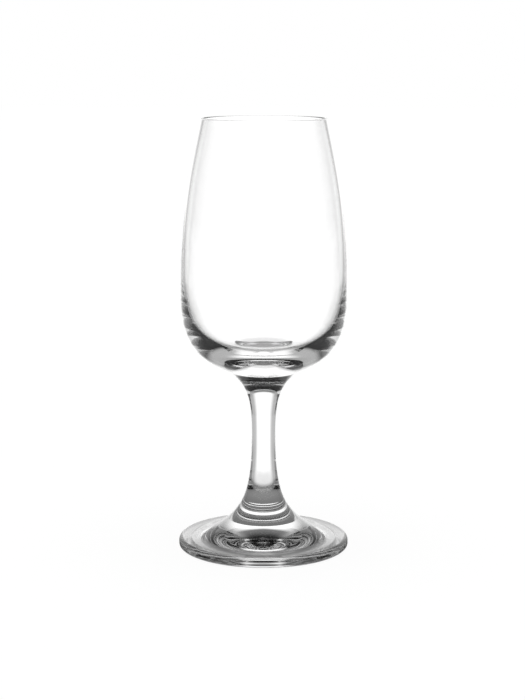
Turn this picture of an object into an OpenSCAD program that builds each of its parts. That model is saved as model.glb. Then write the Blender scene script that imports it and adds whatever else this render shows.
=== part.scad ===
// Stemmed sherry glass: a blown bowl, a drawn stem and a pressed foot, fused hot at two seams.
// The origin is on the axis of the glass, on the surface that it stands on, and +Z points up.
// Every piece is turned about that axis, so its outline is a list of [radius, height] points.

/* [Foot] */
// Outside diameter of the foot
foot_d = 55.7; // [50:0.1:62]
// Height of the foot from the table to the stem seam
foot_h = 9.2; // [8:0.1:12]
// Radius of the lower corner of the foot's edge
edge_low_r = 0.9; // [0.4:0.1:1.3]
// Height of the upright band between the two rounded corners of the edge
edge_band_h = 0.8; // [0.3:0.1:1.4]
// Radius of the upper corner of the foot's edge
edge_top_r = 1.5; // [0.8:0.1:2]
// Slope of the top of the foot at the stem seam, in degrees
top_seam_angle = 38; // [30:1:46]
// Slope of the top of the foot at its edge, in degrees
top_edge_angle = 5; // [2:1:12]
// Width of the flat ring that the foot rests on
rest_ring_w = 3.6; // [2:0.1:6]
// Height of the hollow under the middle of the foot
hollow_h = 2.5; // [1.5:0.1:3.5]
// Slope of the hollow at the flat ring, in degrees
hollow_angle = 13; // [8:1:20]

/* [Stem] */
// Length of the stem between its two seam rings
stem_l = 49; // [40:0.1:60]
// Diameter at the waist of the stem
stem_d = 7.7; // [6:0.1:10]
// Height of the waist above the foot seam
waist_h = 27.4; // [20:0.1:32]
// Diameter of the seam ring between stem and foot
base_seam_d = 23.1; // [20:0.1:27]
// Depth of the round base of the stem below that ring
base_dish_h = 1; // [0.5:0.1:2]
// Slope of the stem where it meets the foot, in degrees
base_flare_angle = 49; // [30:1:60]
// Diameter of the seam ring between stem and bowl
head_seam_d = 21.7; // [18:0.1:28]
// Slope of the stem where it meets the bowl, in degrees
head_flare_angle = 40; // [30:1:60]

/* [Bowl] */
// Height of the bowl from its seam ring to the rim
bowl_h = 81.8; // [70:0.1:95]
// Outside diameter of the bowl at its belly
bowl_d = 53.8; // [48:0.1:59]
// Height of the belly outside, above the seam ring
belly_h = 24.3; // [21:0.1:28]
// Height of the belly inside, above the seam ring
inner_belly_h = 32; // [27:0.1:35]
// Outside diameter of the rim
rim_d = 40.6; // [36:0.1:46]
// Inward lean of the wall at the rim, in degrees
rim_lean = 11; // [5:1:15]
// Thickness of the fire-polished rim
rim_t = 1.1; // [0.8:0.1:1.8]
// Thickness of the wall at the belly
belly_t = 1.3; // [1:0.1:2]
// Depth of glass from the seam ring up to the inside of the bowl
base_t = 6.3; // [4:0.1:8]
// Depth of the round underside of the bowl below its seam ring
head_dish_h = 2.6; // [1:0.1:3]

/* [Hidden] */

// Straight steps in each curve and around each turned piece
curve_steps = 40;
turn_steps = 96;

// Radii of the named diameters and thicknesses
foot_r = foot_d / 2;
stem_r = stem_d / 2;
base_seam_r = base_seam_d / 2;
head_seam_r = head_seam_d / 2;
bowl_r = bowl_d / 2;
cavity_r = bowl_r - belly_t;
rim_r = rim_d / 2;
lip_r = rim_t / 2;
hollow_r = foot_r - edge_low_r - rest_ring_w;

// Heights above the table
base_seam_z = foot_h;
waist_z = base_seam_z + waist_h;
head_seam_z = base_seam_z + stem_l;
belly_z = head_seam_z + belly_h;
inner_belly_z = head_seam_z + inner_belly_h;
rim_z = head_seam_z + bowl_h;
cavity_z = head_seam_z + base_t;

// Places of the two seam rings in an outline
base_seam = [base_seam_r, base_seam_z];
head_seam = [head_seam_r, head_seam_z];

// Shares of a curve's height or width that its first and its second handle take
wall_shares = [0.51, 0.21];
underside_shares = [0.4, 0.79];
cavity_shares = [0.67, 0.89];
head_flare_shares = [0.52, 0.37];
base_flare_shares = [0.19, 0.76];
top_shares = [0.54, 0.3];
hollow_shares = [0.22, 0.1];

// Direction of a slope
function along(angle) = [cos(angle), sin(angle)];

// Cubic curve through its first and last point, with two handles between them
function cubic_at(p, t) =
    pow(1 - t, 3) * p[0] + 3 * pow(1 - t, 2) * t * p[1] + 3 * (1 - t) * pow(t, 2) * p[2] + pow(t, 3) * p[3];
function cubic(p) = [for (i = [0 : curve_steps]) cubic_at(p, i / curve_steps)];

// Round stretch about a centre from one angle to another
function arc(centre, r, from, to) =
    [for (i = [0 : curve_steps]) centre + r * along(from + (to - from) * i / curve_steps)];

// A list of points without its first one, and a list in the other order
function after_first(points) = [for (i = [1 : len(points) - 1]) points[i]];
function backwards(points) = [for (i = [len(points) - 1 : -1 : 0]) points[i]];

// Each fused seam is a cap of a ball, which the upper piece is round to and the lower piece dished to
function ball_r(ring_r, depth) = (ring_r * ring_r + depth * depth) / (2 * depth);
function cap_angle(ring_r, depth) = asin(ring_r / ball_r(ring_r, depth));

// The cap below a seam ring, from the axis out to the ring
function cap(ring, depth) =
    let (r = ball_r(ring[0], depth))
    arc([0, ring[1] - depth + r], r, -90, cap_angle(ring[0], depth) - 90);

head_cap = cap(head_seam, head_dish_h);
base_cap = cap(base_seam, base_dish_h);

// Outside of the bowl from the seam ring to the belly
function underside() =
    let (belly = [bowl_r, belly_z], angle = cap_angle(head_seam_r, head_dish_h))
    cubic([
        head_seam,
        head_seam + underside_shares[0] * (bowl_r - head_seam_r) * along(angle),
        belly - [0, underside_shares[1] * belly_h],
        belly,
    ]);

// Wall from a belly up to the rim, which serves the outside and the inside of the bowl
function wall(belly, end) =
    let (h = end[1] - belly[1])
    cubic([
        belly,
        belly + [0, wall_shares[0] * h],
        end - wall_shares[1] * h * along(90 + rim_lean),
        end,
    ]);

// Inside of the bowl from its lowest point up to the inner belly
function cavity() =
    let (start = [0, cavity_z], belly = [cavity_r, inner_belly_z])
    cubic([
        start,
        start + [cavity_shares[0] * cavity_r, 0],
        belly - [0, cavity_shares[1] * (inner_belly_z - cavity_z)],
        belly,
    ]);

function bowl_outline() =
    let (
        lip = arc([rim_r - lip_r, rim_z - lip_r], lip_r, rim_lean, rim_lean + 180),
        outside = wall([bowl_r, belly_z], lip[0]),
        inside = wall([cavity_r, inner_belly_z], lip[curve_steps])
    )
    concat(
        head_cap,
        after_first(underside()),
        after_first(outside),
        after_first(lip),
        after_first(backwards(inside)),
        after_first(backwards(cavity()))
    );

function stem_outline() =
    let (
        waist = [stem_r, waist_z],
        head_h = head_seam_z - waist_z,
        base_flare = cubic([
            base_seam,
            base_seam + base_flare_shares[0] * waist_h * along(180 - base_flare_angle),
            waist - [0, base_flare_shares[1] * waist_h],
            waist,
        ]),
        head_flare = cubic([
            waist,
            waist + [0, head_flare_shares[0] * head_h],
            head_seam - head_flare_shares[1] * head_h * along(head_flare_angle),
            head_seam,
        ])
    )
    concat(
        base_cap,
        after_first(base_flare),
        after_first(head_flare),
        after_first(backwards(head_cap))
    );

function foot_outline() =
    let (
        hollow_top = [0, hollow_h],
        hollow_edge = [hollow_r, 0],
        hollow = cubic([
            hollow_top,
            hollow_top + [hollow_shares[0] * hollow_r, 0],
            hollow_edge + hollow_shares[1] * hollow_r * along(180 - hollow_angle),
            hollow_edge,
        ]),
        low_corner = arc([foot_r - edge_low_r, edge_low_r], edge_low_r, -90, 0),
        band_z = edge_low_r + edge_band_h,
        top_corner = arc([foot_r - edge_top_r, band_z], edge_top_r, 0, 90 - top_edge_angle),
        top_end = top_corner[curve_steps],
        top_w = top_end[0] - base_seam_r,
        top = cubic([
            top_end,
            top_end + top_shares[1] * top_w * along(180 - top_edge_angle),
            base_seam - top_shares[0] * top_w * along(180 - top_seam_angle),
            base_seam,
        ])
    )
    concat(
        hollow,
        low_corner,
        top_corner,
        after_first(top),
        after_first(backwards(base_cap))
    );

module turned(outline) {
    rotate_extrude($fn = turn_steps)
        polygon(outline);
}

module bowl() {
    color("whitesmoke")
        turned(bowl_outline());
}

module stem() {
    color("gainsboro")
        turned(stem_outline());
}

module foot() {
    color("lightgray")
        turned(foot_outline());
}

bowl();
stem();
foot();
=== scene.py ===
# %% [markdown]
# # A clear sherry glass
# The glass has three pieces that were fused while they were hot: a blown bowl, a drawn stem and a pressed
# foot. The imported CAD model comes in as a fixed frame. Each piece of this scene takes its outline from the
# CAD piece that it stands for, so no size is set twice and the looks can't drift away from the solids.

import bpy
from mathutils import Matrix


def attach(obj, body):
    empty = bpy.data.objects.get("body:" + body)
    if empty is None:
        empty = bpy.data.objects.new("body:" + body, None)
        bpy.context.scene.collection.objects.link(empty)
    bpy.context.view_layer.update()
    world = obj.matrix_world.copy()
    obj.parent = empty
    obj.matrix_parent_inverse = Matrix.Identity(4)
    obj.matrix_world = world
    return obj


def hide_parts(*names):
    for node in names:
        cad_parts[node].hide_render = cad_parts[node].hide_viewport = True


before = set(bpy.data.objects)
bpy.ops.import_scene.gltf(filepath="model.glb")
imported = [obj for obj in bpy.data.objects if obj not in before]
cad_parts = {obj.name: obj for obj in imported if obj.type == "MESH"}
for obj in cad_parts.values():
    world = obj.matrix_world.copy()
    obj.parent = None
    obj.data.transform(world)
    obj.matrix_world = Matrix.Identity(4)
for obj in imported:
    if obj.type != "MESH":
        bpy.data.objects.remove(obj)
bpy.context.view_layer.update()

# %% [markdown]
# ## The camera
# The photograph looks down on the glass by ten degrees, from a little over half a metre away, with a long
# lens. A glass is a good ruler for that: the ellipses of its rim and foot give the tilt, and how much they
# differ gives the distance. The camera comes first, because the studio is later set up for what it sees.

# %% Set up the camera
import math

import bpy
from mathutils import Matrix

scene = bpy.context.scene
camera_place = (-0.0004, -0.5545, 0.163)
camera_tilt = math.radians(10.004)
camera_roll = math.radians(0.08)
camera_lens, sensor_width = 89.08, 36

camera = bpy.data.objects.new("camera", bpy.data.cameras.new("camera"))
scene.collection.objects.link(camera)
scene.camera = camera
camera.data.lens = camera_lens
camera.data.sensor_width = sensor_width
look_down = Matrix.Rotation(math.pi / 2 - camera_tilt, 4, "X") @ Matrix.Rotation(camera_roll, 4, "Z")
camera.matrix_world = Matrix.Translation(camera_place) @ look_down
print("Camera at", camera_place, "with a lens of", camera_lens, "mm")

# %% [markdown]
# ## Writing node trees
# Geometry and shader trees are easier to read as sums than as lists of links. A signal wraps a socket, and
# a sum or product of signals adds the Math node for it. Every other node comes from the one method of a
# recipe, which sets the node's own settings first and then the values or links of its sockets.

# %% Define signals and recipes
class Signal:
    """An output socket, which adds Math nodes when it is calculated with."""

    def __init__(self, recipe, socket):
        self.recipe = recipe
        self.socket = socket

    def out(self, name):
        """Another output of the same node."""
        return Signal(self.recipe, self.socket.node.outputs[name])

    def __add__(self, other):
        return self.recipe.maths("ADD", self, other)

    def __radd__(self, other):
        return self.recipe.maths("ADD", other, self)

    def __sub__(self, other):
        return self.recipe.maths("SUBTRACT", self, other)

    def __rsub__(self, other):
        return self.recipe.maths("SUBTRACT", other, self)

    def __mul__(self, other):
        return self.recipe.maths("MULTIPLY", self, other)

    def __rmul__(self, other):
        return self.recipe.maths("MULTIPLY", other, self)

    def __truediv__(self, other):
        return self.recipe.maths("DIVIDE", self, other)

    def __rtruediv__(self, other):
        return self.recipe.maths("DIVIDE", other, self)

    def __gt__(self, other):
        return self.recipe.maths("GREATER_THAN", self, other)


class Recipe:
    """A node tree that is written from scratch."""

    def __init__(self, tree):
        self.tree = tree
        tree.nodes.clear()

    def node(self, kind, settings=None, sockets=None, output=0):
        """Adds a node, with its settings and then its sockets, and returns one of its outputs."""
        made = self.tree.nodes.new(kind)
        for name, value in (settings or {}).items():
            setattr(made, name, value)
        for name, value in (sockets or {}).items():
            if isinstance(value, Signal):
                self.tree.links.new(value.socket, made.inputs[name])
            else:
                made.inputs[name].default_value = value
        return Signal(self, made.outputs[output]) if made.outputs else made

    def maths(self, operation, *values):
        """Adds a Math node for one operation on signals or numbers."""
        return self.node("ShaderNodeMath", {"operation": operation}, dict(enumerate(values)))

    def ramp(self, value, start, end):
        """Rises smoothly from 0 to 1 while the value goes from start to end."""
        return self.node(
            "ShaderNodeMapRange",
            {"interpolation_type": "SMOOTHSTEP"},
            {"Value": value, "From Min": start, "From Max": end},
        )


print("Recipes are ready for geometry and for materials")

# %% [markdown]
# ## Glass
# Clear soda glass bends light by an index of about 1.52 and takes no colour from it at this thickness. What
# tells real glass from a computed one is its skin: a blown wall is faintly wavy, a drawn stem has fine
# lines along its length, and a pressed foot keeps the turning rings of its mould. All of that is at most a
# hundredth of a millimetre deep, so it goes into a Bump node and not into the mesh. The constant numbers
# sit on the shader's own sockets, where an export finds them.

# %% Describe clear glass
white = (1.0, 1.0, 1.0, 1.0)
even = (1.0, 1.0, 1.0)
glass_index = 1.52
least_roughness = 0.004


def new_finish(name):
    """A new material and the recipe that writes its nodes."""
    material = bpy.data.materials.new(name)
    material.use_nodes = True
    return material, Recipe(material.node_tree)


def stretched(recipe, stretch):
    """Object coordinates, stretched so that a pattern follows the way the glass was worked."""
    here = recipe.node("ShaderNodeTexCoord", output="Object")
    return recipe.node("ShaderNodeMapping", sockets={"Vector": here, "Scale": stretch})


def noise(recipe, stretch, scale, detail):
    """A cloudy pattern between 0 and 1."""
    place = stretched(recipe, stretch)
    return recipe.node("ShaderNodeTexNoise", sockets={"Vector": place, "Scale": scale, "Detail": detail})


def polish(recipe, stretch, scale, spread):
    """Roughness of polished glass, which differs a little from spot to spot."""
    return least_roughness + spread * noise(recipe, stretch, scale, detail=2.0)


def finish_glass(recipe, height, depth, roughness):
    """Clear glass with a skin of that height map, which is so deep in metres, and that roughness."""
    skin = recipe.node("ShaderNodeBump", sockets={"Height": height, "Distance": depth, "Strength": 1.0})
    glass = recipe.node(
        "ShaderNodeBsdfPrincipled",
        sockets={
            "Base Color": white,
            "Roughness": roughness,
            "IOR": glass_index,
            "Transmission Weight": 1.0,
            "Normal": skin,
        },
    )
    recipe.node("ShaderNodeOutputMaterial", sockets={"Surface": glass})


print("Clear glass bends light by", glass_index)

# %% Mix the three glasses
def blown_glass():
    material, recipe = new_finish("blown_glass")
    waves = noise(recipe, stretch=(1.0, 1.0, 0.35), scale=90.0, detail=1.0)
    roughness = polish(recipe, stretch=even, scale=240.0, spread=0.012)
    finish_glass(recipe, waves, depth=10e-6, roughness=roughness)
    return material


def drawn_glass():
    material, recipe = new_finish("drawn_glass")
    lines = noise(recipe, stretch=(1.0, 1.0, 0.06), scale=500.0, detail=1.0)
    roughness = polish(recipe, stretch=(1.0, 1.0, 0.2), scale=400.0, spread=0.012)
    finish_glass(recipe, lines, depth=3e-6, roughness=roughness)
    return material


def pressed_glass():
    material, recipe = new_finish("pressed_glass")
    rings = recipe.node(
        "ShaderNodeTexWave",
        {"wave_type": "RINGS", "rings_direction": "Z"},
        {"Vector": stretched(recipe, even), "Scale": 60.0, "Distortion": 2.0, "Detail": 1.0},
        output="Fac",
    )
    roughness = polish(recipe, stretch=even, scale=240.0, spread=0.016)
    finish_glass(recipe, rings, depth=2e-6, roughness=roughness)
    return material


glasses = {"bowl": blown_glass(), "stem": drawn_glass(), "foot": pressed_glass()}
print("Glasses:", [material.name for material in glasses.values()])

# %% [markdown]
# ## The fused seams
# Where the stem was fused to the bowl and to the foot, the glass is one: light goes straight through the
# seam. The pieces stay separate here, so the faces that two of them share get a finish that lets light pass
# unbent. Without it each seam would be a mirror inside the glass. A point is in a seam when its radius and
# height are those of a point of the piece next to it, and a search tree over the outlines finds these.

# %% Find the seams
from mathutils.kdtree import KDTree

touch = 3e-6
next_to = {"bowl": ["stem"], "stem": ["bowl", "foot"], "foot": ["stem"]}


def outline_points(node):
    """Radius and height of every point of a CAD piece."""
    return [(math.hypot(v.co.x, v.co.y), 0.0, v.co.z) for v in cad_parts[node].data.vertices]


def seam_marks(node):
    """1 for each point of a CAD piece that is on a seam, and 0 for the rest."""
    others = [point for other in next_to[node] for point in outline_points(other)]
    tree = KDTree(len(others))
    for index, point in enumerate(others):
        tree.insert(point, index)
    tree.balance()
    return [float(tree.find(point)[2] < touch) for point in outline_points(node)]


seam_finish, seam_recipe = new_finish("fused_seam")
unbent = seam_recipe.node("ShaderNodeBsdfTransparent")
seam_recipe.node("ShaderNodeOutputMaterial", sockets={"Surface": unbent})
marks = {node: seam_marks(node) for node in next_to}
for node, mark in marks.items():
    print(node, "has", int(sum(mark)), "of", len(mark), "points on a seam")

# %% [markdown]
# ## Turning the pieces
# Every piece of the glass is turned about its axis, as on a lathe. The CAD mesh has the right outline, but
# it is made of long thin triangles, which show as kinks in anything that is seen through them. This tree
# folds the CAD mesh onto one half plane, where its points fall together into the outline, and then turns
# that outline in even steps into a clean mesh of quads. Smooth shading runs over it up to the corners at
# the seams, and the faces of a seam get the finish that lets light pass. A soft curve through the points of
# the outline can cut each of its straight stretches into finer steps.

# %% Fold a CAD piece into its outline
turning = bpy.data.node_groups.new("turn_outline", "GeometryNodeTree")
inputs = {}
for label, kind in (
    ("CAD piece", "NodeSocketGeometry"),
    ("Turns", "NodeSocketInt"),
    ("Steps", "NodeSocketInt"),
    ("Touch", "NodeSocketFloat"),
    ("Corner", "NodeSocketFloat"),
    ("Glass", "NodeSocketMaterial"),
    ("Seam", "NodeSocketMaterial"),
):
    inputs[label] = turning.interface.new_socket(label, in_out="INPUT", socket_type=kind).identifier
turning.interface.new_socket("Turned piece", in_out="OUTPUT", socket_type="NodeSocketGeometry")

lathe = Recipe(turning)
given = lathe.node("NodeGroupInput")
place = lathe.node("ShaderNodeSeparateXYZ", sockets={"Vector": lathe.node("GeometryNodeInputPosition")})
flat = lathe.node("ShaderNodeCombineXYZ", sockets={"X": place.out("X"), "Y": place.out("Y")})
radius = lathe.node("ShaderNodeVectorMath", {"operation": "LENGTH"}, {0: flat}, "Value")
half_plane = lathe.node("ShaderNodeCombineXYZ", sockets={"X": radius, "Z": place.out("Z")})
folded = lathe.node("GeometryNodeSetPosition", sockets={"Geometry": given, "Position": half_plane})
chain = lathe.node(
    "GeometryNodeMergeByDistance", sockets={"Geometry": folded, "Distance": given.out("Touch")}
)
line = lathe.node("GeometryNodeMeshToCurve", sockets={"Mesh": chain})
bent = lathe.node("GeometryNodeCurveSplineType", {"spline_type": "BEZIER"}, {"Curve": line})
bent = lathe.node("GeometryNodeCurveSetHandles", {"handle_type": "AUTO"}, {"Curve": bent})
fine = lathe.node("GeometryNodeSetSplineResolution", sockets={0: bent, "Resolution": given.out("Steps")})
outline = lathe.node("GeometryNodeResampleCurve", {"mode": "EVALUATED"}, {"Curve": fine})
count = lathe.node("GeometryNodeAttributeDomainSize", {"component": "CURVE"}, {"Geometry": outline})
print("The turning tree takes", ", ".join(inputs))

# %% Turn the outline into a mesh
turns = given.out("Turns")
grid = lathe.node("GeometryNodeMeshGrid", sockets={"Vertices X": turns + 1, "Vertices Y": count})
index = lathe.node("GeometryNodeInputIndex")
# Half a step more keeps a rounding error from moving a point to the turn before its own.
turn = lathe.maths("FLOOR", (index + 0.5) / count)
step = index - turn * count


def along_outline(kind, value):
    """A value of the outline's points, read at this point's step along it."""
    sockets = {"Geometry": outline, "Value": value, "Index": step}
    return lathe.node("GeometryNodeSampleIndex", {"data_type": kind, "domain": "POINT"}, sockets)


here = along_outline("FLOAT_VECTOR", lathe.node("GeometryNodeInputPosition"))
here = lathe.node("ShaderNodeSeparateXYZ", sockets={"Vector": here})
angle = turn * (2 * math.pi) / turns
around = {
    "X": here.out("X") * lathe.maths("COSINE", angle),
    "Y": here.out("X") * lathe.maths("SINE", angle),
    "Z": here.out("Z"),
}
seam = lathe.node("GeometryNodeInputNamedAttribute", {"data_type": "FLOAT"}, {"Name": "seam"})
marked = lathe.node(
    "GeometryNodeStoreNamedAttribute",
    {"data_type": "FLOAT", "domain": "POINT"},
    {"Geometry": grid, "Name": "seam", "Value": along_outline("FLOAT", seam)},
)
turned = lathe.node(
    "GeometryNodeSetPosition",
    sockets={"Geometry": marked, "Position": lathe.node("ShaderNodeCombineXYZ", sockets=around)},
)
closed = lathe.node(
    "GeometryNodeMergeByDistance", sockets={"Geometry": turned, "Distance": given.out("Touch")}
)
print("The turned mesh is closed within", touch, "m")

# %% Set the corners and the finishes
whole_face = 0.99

smooth = lathe.node("GeometryNodeSetShadeSmooth", {"domain": "FACE"}, {"Geometry": closed})
bend = lathe.node("GeometryNodeInputMeshEdgeAngle")
cornered = lathe.node(
    "GeometryNodeSetShadeSmooth",
    {"domain": "EDGE"},
    {"Geometry": smooth, "Selection": bend > given.out("Corner"), "Shade Smooth": False},
)
real = lathe.node("GeometryNodeRealizeInstances", sockets={"Geometry": cornered})
glazed = lathe.node("GeometryNodeSetMaterial", sockets={"Geometry": real, "Material": given.out("Glass")})
finished = lathe.node(
    "GeometryNodeSetMaterial",
    sockets={"Geometry": glazed, "Selection": seam > whole_face, "Material": given.out("Seam")},
)
lathe.node("NodeGroupOutput", sockets={0: finished})
print("The turning tree has", len(turning.nodes), "nodes")

# %% [markdown]
# ## The three pieces
# The tree is now used on each CAD piece. The bowl gets two steps for each one of its outline, because its
# wall is so thin that the straight stretches would show as streaks along its edges. The stem and the foot
# have real corners, which a soft curve would round, so they keep the steps of their outlines. The faces of
# each mesh are then set to look outwards, and its open edges are counted: a closed piece has none.

# %% Turn the bowl, the stem and the foot
import bmesh

turn_count = 192
corner_angle = math.radians(10)
step_counts = {"bowl": 2, "stem": 1, "foot": 1}


def turn_piece(node):
    """A clean turned mesh in place of a CAD piece."""
    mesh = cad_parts[node].data.copy()
    mesh.attributes.new("seam", "FLOAT", "POINT").data.foreach_set("value", marks[node])
    blank = bpy.data.objects.new(node + "_blank", mesh)
    scene.collection.objects.link(blank)
    modifier = blank.modifiers.new("turn", "NODES")
    modifier.node_group = turning
    modifier[inputs["Turns"]] = turn_count
    modifier[inputs["Steps"]] = step_counts[node]
    modifier[inputs["Touch"]] = touch
    modifier[inputs["Corner"]] = corner_angle
    modifier[inputs["Glass"]] = glasses[node]
    modifier[inputs["Seam"]] = seam_finish
    depsgraph = bpy.context.evaluated_depsgraph_get()
    turned_mesh = bpy.data.meshes.new_from_object(blank.evaluated_get(depsgraph), depsgraph=depsgraph)
    bpy.data.objects.remove(blank)
    # The first slot still holds the finish of the CAD piece.
    turned_mesh.materials.pop(index=0)
    shell = bmesh.new()
    shell.from_mesh(turned_mesh)
    bmesh.ops.recalc_face_normals(shell, faces=shell.faces)
    open_edges = sum(len(edge.link_faces) != 2 for edge in shell.edges)
    shell.to_mesh(turned_mesh)
    shell.free()
    piece = bpy.data.objects.new(node + "_glass", turned_mesh)
    scene.collection.objects.link(piece)
    print(piece.name, "has", len(turned_mesh.polygons), "faces and", open_edges, "open edges")
    return piece


pieces = {node: turn_piece(node) for node in step_counts}
for node, piece in pieces.items():
    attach(piece, "root")
    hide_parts(node)

# %% [markdown]
# ## The sheet of light
# Clear glass has no look of its own: it shows its surroundings bent. Photographers set it in a bright
# field, a lit white sheet of limited size behind the glass in a dark room, because the sheet shows through
# as white and the dark room draws the edges. Here the sheet is hot in the lower middle and softer above and
# at the sides. Its levels are told by the distance from its middle line, so the backdrop and the floor can
# share them.

# %% Describe the sheet of light
backdrop_distance = 0.344
hot_half_width, hot_blur = 0.16, 0.075
sheet_half_width, sheet_blur = 0.43, 0.08
hot_top, hot_top_blur = 0.21, 0.03
sheet_top, sheet_top_blur = 0.315, 0.178
hot_level, upper_level, sheet_level, room_level = 1.22, 0.25, 0.5, 0.008


def inside(recipe, value, edge, blur):
    """1 below the edge and 0 above it, with a soft step of that blur to either side."""
    return 1 - recipe.ramp(value, edge - blur, edge + blur)


def light_across(recipe, sideways, middle_level):
    """Level of the sheet by the distance from its middle line, measured on the backdrop."""
    on_sheet = inside(recipe, sideways, sheet_half_width, sheet_blur)
    in_middle = inside(recipe, sideways, hot_half_width, hot_blur)
    return room_level + (sheet_level - room_level) * on_sheet + (middle_level - sheet_level) * in_middle


def object_place(recipe):
    """Object coordinates, with X, Y and Z as outputs."""
    here = recipe.node("ShaderNodeTexCoord", output="Object")
    return recipe.node("ShaderNodeSeparateXYZ", sockets={"Vector": here})


print("Bright field of", 2 * hot_half_width, "m on a sheet of", 2 * sheet_half_width, "m")

# %% [markdown]
# ## The floor
# The sheet runs down from the backdrop and over the floor towards the glass in the shape of a fan. A narrow
# grey strip right behind the glass is a painted shadow of the glass that shades its bottom, and under the
# foot the floor carries painted shade, with painted light from the sides only and a painted contact shadow
# in a ring at the rim. The open floor in front is lit at a middle level, and the two flanks at a share of
# it, so that the glass stays clear when it is seen from other sides too. A higher level would wash out the
# dark edges of the bowl. To the camera itself the floor is plain white, as in the photograph, with a faint
# shadow.

# %% Lay out the floor
nearest, fan_start = 0.001, 0.01
near_level, open_level = 0.24, 0.78
open_start, open_end = 0.045, 0.14
open_side, open_front, flank_share = -0.25, 0.1, 0.4
# The strip is a painted shadow of the glass on the floor right behind it.
shadow_strip_half_width, shadow_strip_blur = 0.019, 0.009
shadow_strip_start, shadow_strip_end, shadow_strip_end_blur, shadow_strip_depth = -0.02, 0.062, 0.011, 0.3
# Painted shade under the foot, painted light from its sides and a painted contact shadow ring at its rim.
shade_middle, shade_level, shade_middle_radius = 0.27, 0.18, 0.022
gleam_level, gleam_start, gleam_end = 0.46, 0.015, 0.0295
contact_shadow_level, contact_shadow_start, contact_shadow_blur = 0.13, 0.0276, 0.0015
shade_start, shade_end = 0.027, 0.04


def foot_shade(recipe, sideways, radius):
    """Painted shade on the floor under the foot and right beside it, with painted light coming in from the
    sides.
    """
    level = shade_middle + (shade_level - shade_middle) * recipe.ramp(radius, 0.0, shade_middle_radius)
    # Painted light that comes in under the foot from the sides.
    level = level + (gleam_level - level) * recipe.ramp(sideways, gleam_start, gleam_end)
    # A painted contact shadow darkens a ring just outside the rim of the foot.
    return contact_shadow_level + (level - contact_shadow_level) * inside(recipe, radius, contact_shadow_start, contact_shadow_blur)


def floor_light(recipe):
    """Level of the floor by its place: the fan of the sheet, the open floor, the painted shadow strip and
    the painted shade under the foot.
    """
    here = object_place(recipe)
    x, y = here.out("X"), here.out("Y")
    sideways = recipe.maths("ABSOLUTE", x)
    behind = recipe.maths("MAXIMUM", y, nearest)
    fan = light_across(recipe, sideways * backdrop_distance / behind, hot_level)
    fan = fan * recipe.ramp(y, 0.0, fan_start)
    radius = recipe.maths("SQRT", x * x + y * y)
    in_front = recipe.ramp((0 - y) / radius, open_side, open_front)
    in_open = (flank_share + (1 - flank_share) * in_front) * recipe.ramp(radius, open_start, open_end)
    level = recipe.maths("MAXIMUM", fan, near_level + (open_level - near_level) * in_open)
    # Painted shadow of the glass: a narrow strip on the floor right behind it, darker by its depth.
    on_painted_shadow = inside(recipe, sideways, shadow_strip_half_width, shadow_strip_blur) * recipe.ramp(y, shadow_strip_start, 0.0)
    on_painted_shadow = on_painted_shadow * inside(recipe, y, shadow_strip_end, shadow_strip_end_blur)
    level = level * (1 - shadow_strip_depth * on_painted_shadow)
    shade = foot_shade(recipe, sideways, radius)
    return shade + (level - shade) * recipe.ramp(radius, shade_start, shade_end)


print("Open floor from", open_end, "m out, grey strip up to", shadow_strip_end, "m behind the glass")

# %% Finish the floor and the backdrop
shadow_share = 0.08


def floor_finish():
    """White to the camera with a faint shadow, and to whatever is seen through glass a glow with light and
    shade painted by its place.
    """
    material, recipe = new_finish("white_floor")
    in_glass = recipe.node("ShaderNodeEmission", sockets={"Color": floor_light(recipe)})
    paper = recipe.node("ShaderNodeBsdfDiffuse", sockets={"Color": white})
    plain = recipe.node("ShaderNodeEmission", sockets={"Color": white})
    to_camera = recipe.node("ShaderNodeMixShader", sockets={0: shadow_share, 1: plain, 2: paper})
    ray = recipe.node("ShaderNodeLightPath")
    through_glass = ray.out("Is Glossy Ray") + ray.out("Is Transmission Ray")
    both = recipe.node("ShaderNodeMixShader", sockets={0: through_glass, 1: to_camera, 2: in_glass})
    recipe.node("ShaderNodeOutputMaterial", sockets={"Surface": both})
    return material


def backdrop_finish():
    """The upright part of the sheet, which is hot up to one height and fades out above another."""
    material, recipe = new_finish("lit_backdrop")
    here = object_place(recipe)
    height = here.out("Z")
    middle = upper_level + (hot_level - upper_level) * inside(recipe, height, hot_top, hot_top_blur)
    across = light_across(recipe, recipe.maths("ABSOLUTE", here.out("X")), middle)
    level = room_level + (across - room_level) * inside(recipe, height, sheet_top, sheet_top_blur)
    glow = recipe.node("ShaderNodeEmission", sockets={"Color": level})
    recipe.node("ShaderNodeOutputMaterial", sockets={"Surface": glow})
    return material


finishes = {"floor": floor_finish(), "backdrop": backdrop_finish()}
print("Finishes:", [material.name for material in finishes.values()])

# %% Put up the floor and the backdrop
floor_half, floor_drop = 4.0, 3e-5
side, top = sheet_half_width + sheet_blur, sheet_top + sheet_top_blur


def stage_plane(name, corners):
    """A plane of the set through four corners."""
    mesh = bpy.data.meshes.new(name)
    mesh.from_pydata(corners, [], [(0, 1, 2, 3)])
    mesh.materials.append(finishes[name])
    finishes[name].cycles.emission_sampling = "NONE"
    plane = bpy.data.objects.new(name, mesh)
    scene.collection.objects.link(plane)
    return plane


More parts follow.
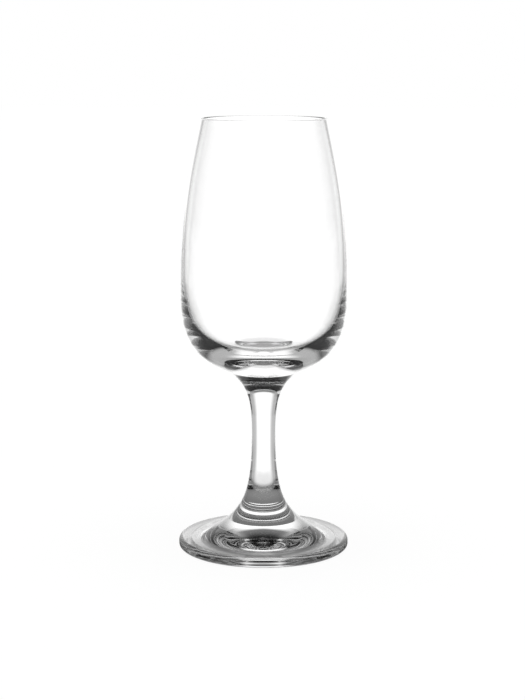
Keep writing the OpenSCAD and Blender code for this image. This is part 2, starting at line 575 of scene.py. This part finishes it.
floor = stage_plane(
    "floor",
    [(x * floor_half, y * floor_half, -floor_drop) for x, y in ((-1, -1), (1, -1), (1, 1), (-1, 1))],
)
backdrop = stage_plane(
    "backdrop",
    [(x * side, backdrop_distance, z) for x, z in ((-1, 0), (1, 0), (1, top), (-1, top))],
)
backdrop.visible_camera = False
backdrop.visible_diffuse = False
backdrop.visible_shadow = False
print("Stage:", floor.name, "and", backdrop.name)

# %% [markdown]
# ## The lamp and the room
# One wide lamp overhead gives the faint shadow on the floor. It is not seen in the glass, which takes all
# its light from the set. The room is dark to the glass apart from a low glow on the horizon in front, which
# goes on where the open floor ends. To the camera the room is white.

# %% Hang the lamp and set the room
lamp_width = math.radians(60)
lamp_strength = 3.3
glow_top, glow_blur = 0.075, 0.03

lamp = bpy.data.objects.new("soft_lamp", bpy.data.lights.new("soft_lamp", "SUN"))
scene.collection.objects.link(lamp)
lamp.data.angle = lamp_width
lamp.data.energy = lamp_strength
lamp.visible_glossy = False
lamp.visible_transmission = False

scene.world = bpy.data.worlds.new("room")
scene.world.use_nodes = True
room = Recipe(scene.world.node_tree)
way = room.node("ShaderNodeTexCoord", output="Generated")
way = room.node("ShaderNodeSeparateXYZ", sockets={"Vector": way})
in_front = room.ramp(0 - way.out("Y"), open_side, open_front)
glow = in_front * inside(room, way.out("Z"), glow_top, glow_blur)
dim_room = room_level + (open_level - room_level) * glow
to_camera = room.node("ShaderNodeLightPath", output="Is Camera Ray")
sky = room.node("ShaderNodeBackground", sockets={"Color": dim_room + (1 - dim_room) * to_camera})
room.node("ShaderNodeOutputWorld", sockets={"Surface": sky})
scene.view_settings.view_transform = "Standard"
print("To the glass the room goes from", room_level, "up to", open_level, "on the horizon in front")

# %% [markdown]
# ## Depth of the light paths
# A ray of light crosses a stemmed glass at up to a dozen surfaces and is often reflected inside the foot
# many times more. Where a path is cut short the glass goes black, so the limits are raised well above that.

# %% Let light cross many surfaces
most_bounces, most_seams = 40, 64

scene.cycles.max_bounces = most_bounces
scene.cycles.transmission_bounces = most_bounces
scene.cycles.glossy_bounces = most_bounces
scene.cycles.transparent_max_bounces = most_seams
print("Paths of up to", most_bounces, "bounces")
